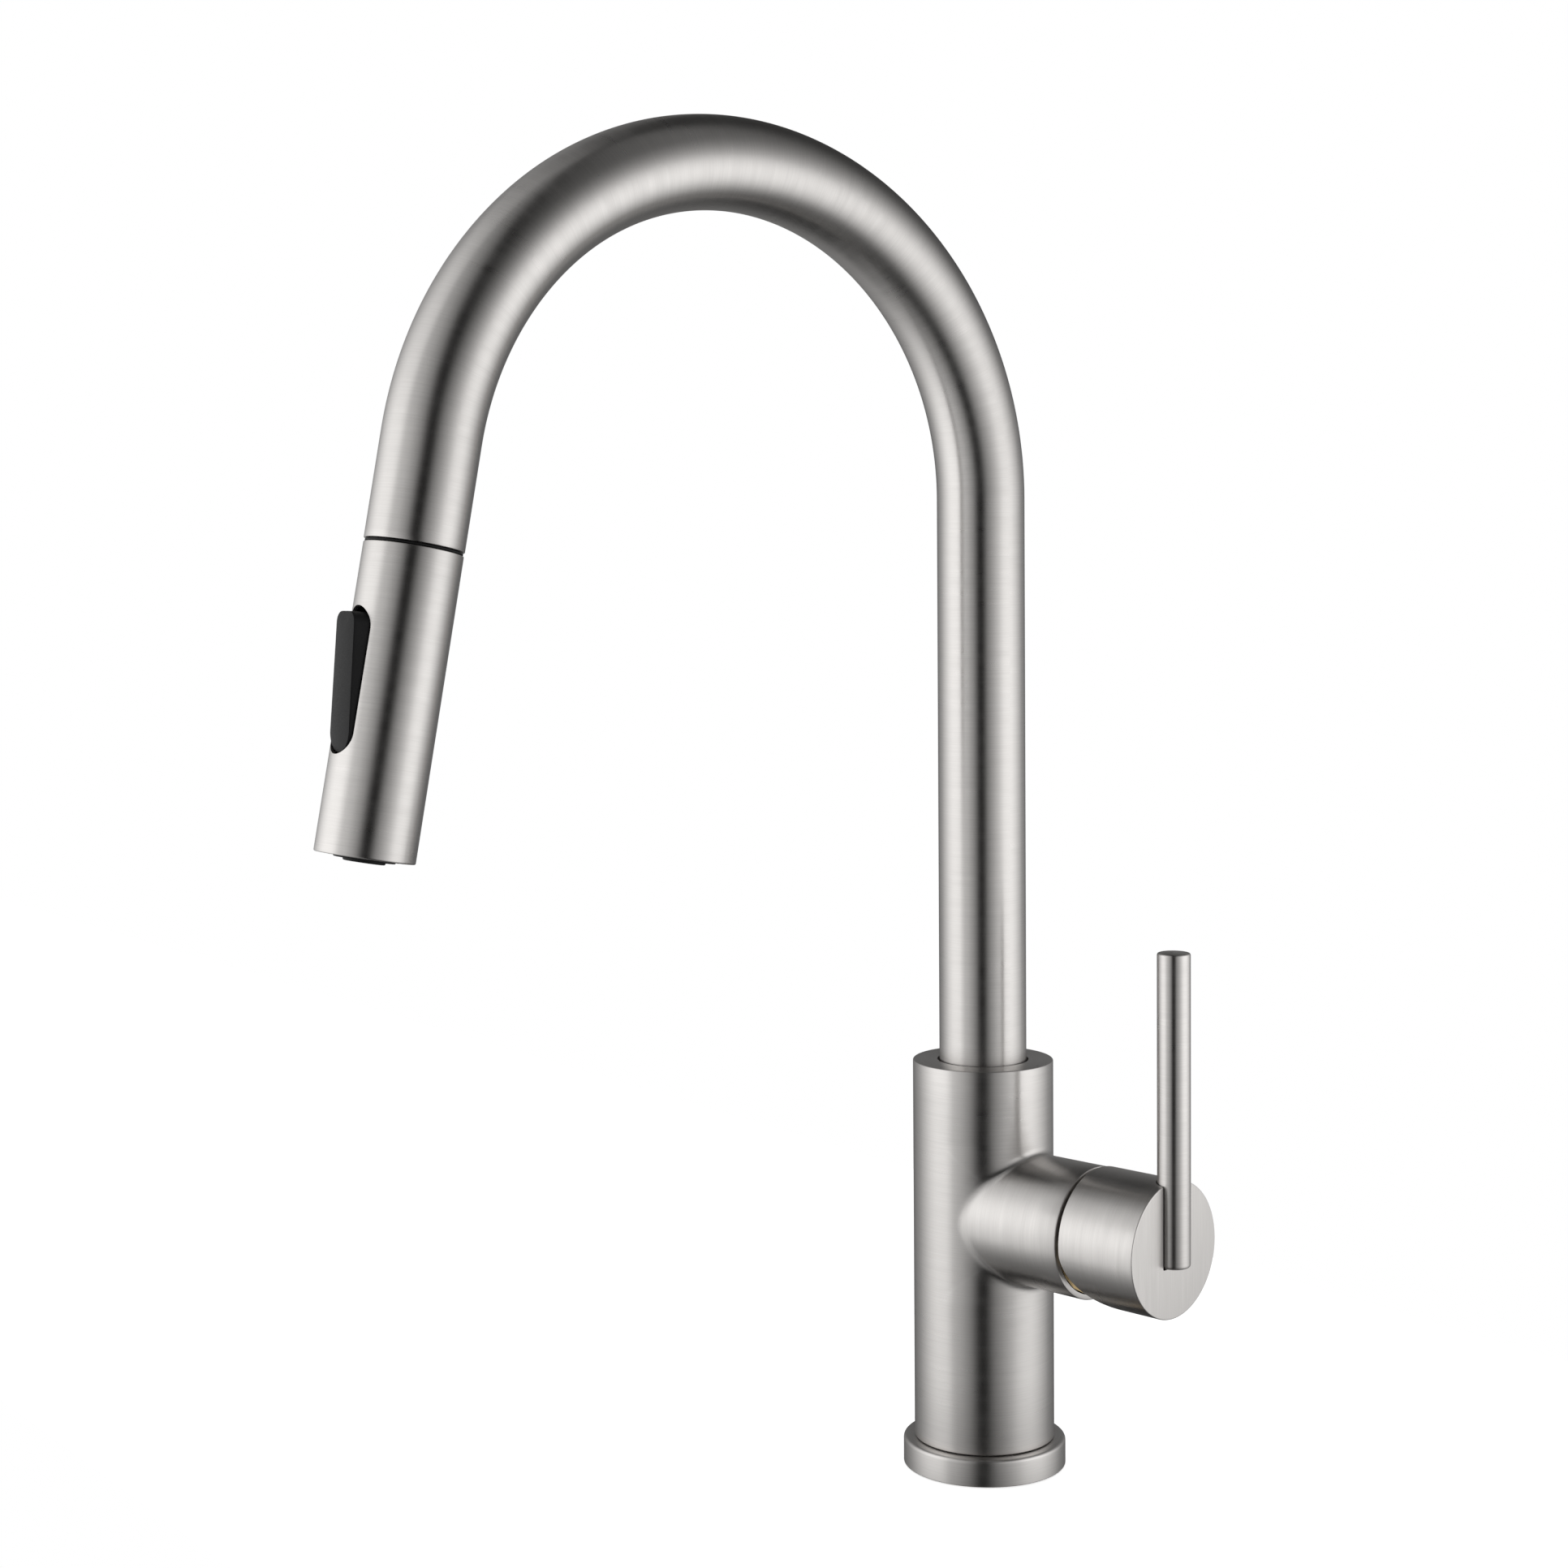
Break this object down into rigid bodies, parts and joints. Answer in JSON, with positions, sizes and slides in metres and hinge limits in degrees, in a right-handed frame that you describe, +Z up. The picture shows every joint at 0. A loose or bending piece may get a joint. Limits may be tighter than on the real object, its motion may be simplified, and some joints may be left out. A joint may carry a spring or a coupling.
{
  "type": "pull-down kitchen faucet",
  "caption": "Single-hole brushed steel kitchen faucet: high gooseneck spout, cylindrical pull-down spray head with a rocker switch, and a side hub with a slim upright lever.",
  "frame": {"origin": "centre of the base ring's underside, where the faucet stands on the deck, on the axis of the deck hole and of the spout's riser", "axes": "+Z up along the riser; the spout reaches towards -Y; the handle's axis leaves towards +X, turned 9.25 degrees towards +Y"},
  "size_m": [0.1081, 0.267, 0.517],
  "materials": {
    "brushed_steel": "fine brushing around each tube",
    "brass": "machined",
    "copper": "drawn copper",
    "zinc_plate": "bright zinc plate",
    "black_plastic": "satin black",
    "rubber": "matt black",
    "white_plastic": "moulded acetal",
    "ceramic": "lapped",
    "braid": "grey woven nylon braid"
  },
  "bodies": {
    "base": {"base_ring": "brushed_steel", "base_gasket": "rubber", "body_shell": "brushed_steel", "valve_core": "brass", "threaded_shank": "brass", "rubber_washer": "rubber", "steel_washer": "zinc_plate", "mounting_nut": "brass", "clamp_screw_left": "zinc_plate", "clamp_screw_right": "zinc_plate", "hot_pipe": "copper", "cold_pipe": "copper", "outlet_pipe": "copper", "hot_fitting": "brass", "cold_fitting": "brass", "outlet_fitting": "brass", "hose_lower": "braid", "hose_connector": "brass", "upper_bush": "white_plastic", "lower_bush": "white_plastic", "cartridge_base": "black_plastic", "hot_seal": "rubber", "cold_seal": "rubber", "outlet_seal": "rubber", "fixed_disc": "ceramic", "cartridge_housing": "white_plastic", "cartridge_nut": "brass"},
    "mixer": {"cartridge_rotor": "white_plastic", "pivot_pin": "zinc_plate"},
    "handle": {"cartridge_stem": "zinc_plate", "handle_hub": "brushed_steel", "lever_rod": "brushed_steel", "lever_screw": "zinc_plate", "grub_screw": "zinc_plate", "grub_plug": "black_plastic"},
    "moving_disc": {"moving_disc": "ceramic", "disc_carrier": "black_plastic"},
    "spout": {"spout_tube": "brushed_steel", "spout_foot": "brass", "hose_upper": "braid", "dock_collar": "black_plastic", "dock_magnet": "zinc_plate"},
    "hose_end": {"hose_leg": "braid", "hose_ferrule": "zinc_plate", "swivel_stud": "brass"},
    "spray_head": {"head_shell": "brushed_steel", "head_neck": "black_plastic", "keeper_ring": "zinc_plate", "ball_nut": "white_plastic", "check_valve": "black_plastic", "head_core": "white_plastic", "button_tray": "black_plastic", "rocker_pin": "zinc_plate", "face_carrier": "white_plastic", "nozzle_ring": "rubber", "spray_face": "black_plastic", "aerator": "black_plastic"},
    "rocker": {"rocker_button": "black_plastic"},
    "diverter": {"diverter_plunger": "black_plastic"}
  },
  "joints": [
    {"name": "handle_mix", "type": "hinge", "parent": "base", "child": "mixer", "pos_m": [0.04738, 0.00772, 0.0827], "axis": [0.987, 0.1607, 0], "range_deg": [-45, 45]},
    {"name": "handle_lift", "type": "hinge", "parent": "mixer", "child": "handle", "pos_m": [0.04738, 0.00772, 0.0827], "axis": [-0.1607, 0.987, 0], "range_deg": [0, 20]},
    {"name": "disc_slide", "type": "slide", "parent": "mixer", "child": "moving_disc", "axis": [0, 0, 1], "range_m": [0, 0.005]},
    {"name": "spout_swivel", "type": "hinge", "parent": "base", "child": "spout", "pos_m": [0, 0, 0.13], "axis": [0, 0, 1], "range_deg": [-180, 180]},
    {"name": "head_pull", "type": "slide", "parent": "spout", "child": "hose_end", "axis": [0, -0.1908, -0.9816], "range_m": [0, 0.45], "stiffness_N_per_m": 9, "springref_m": -0.55, "deforming": ["hose_leg"]},
    {"name": "head_spin", "type": "hinge", "parent": "hose_end", "child": "spray_head", "pos_m": [0, -0.20658, 0.28325], "axis": [0, -0.1908, -0.9816], "continuous": true},
    {"name": "rocker_press", "type": "hinge", "parent": "spray_head", "child": "rocker", "pos_m": [0, -0.22023, 0.26125], "axis": [-1, 0, 0], "range_deg": [0, 9]},
    {"name": "plunger_slide", "type": "slide", "parent": "spray_head", "child": "diverter", "axis": [0, 0.9816, -0.1908], "range_m": [0, 0.0012]}
  ],
  "couplings": [
    {"joint": "disc_slide", "follows": "handle_lift", "m_per_rad": 0.0127},
    {"joint": "plunger_slide", "follows": "rocker_press", "m_per_rad": 0.007}
  ]
}
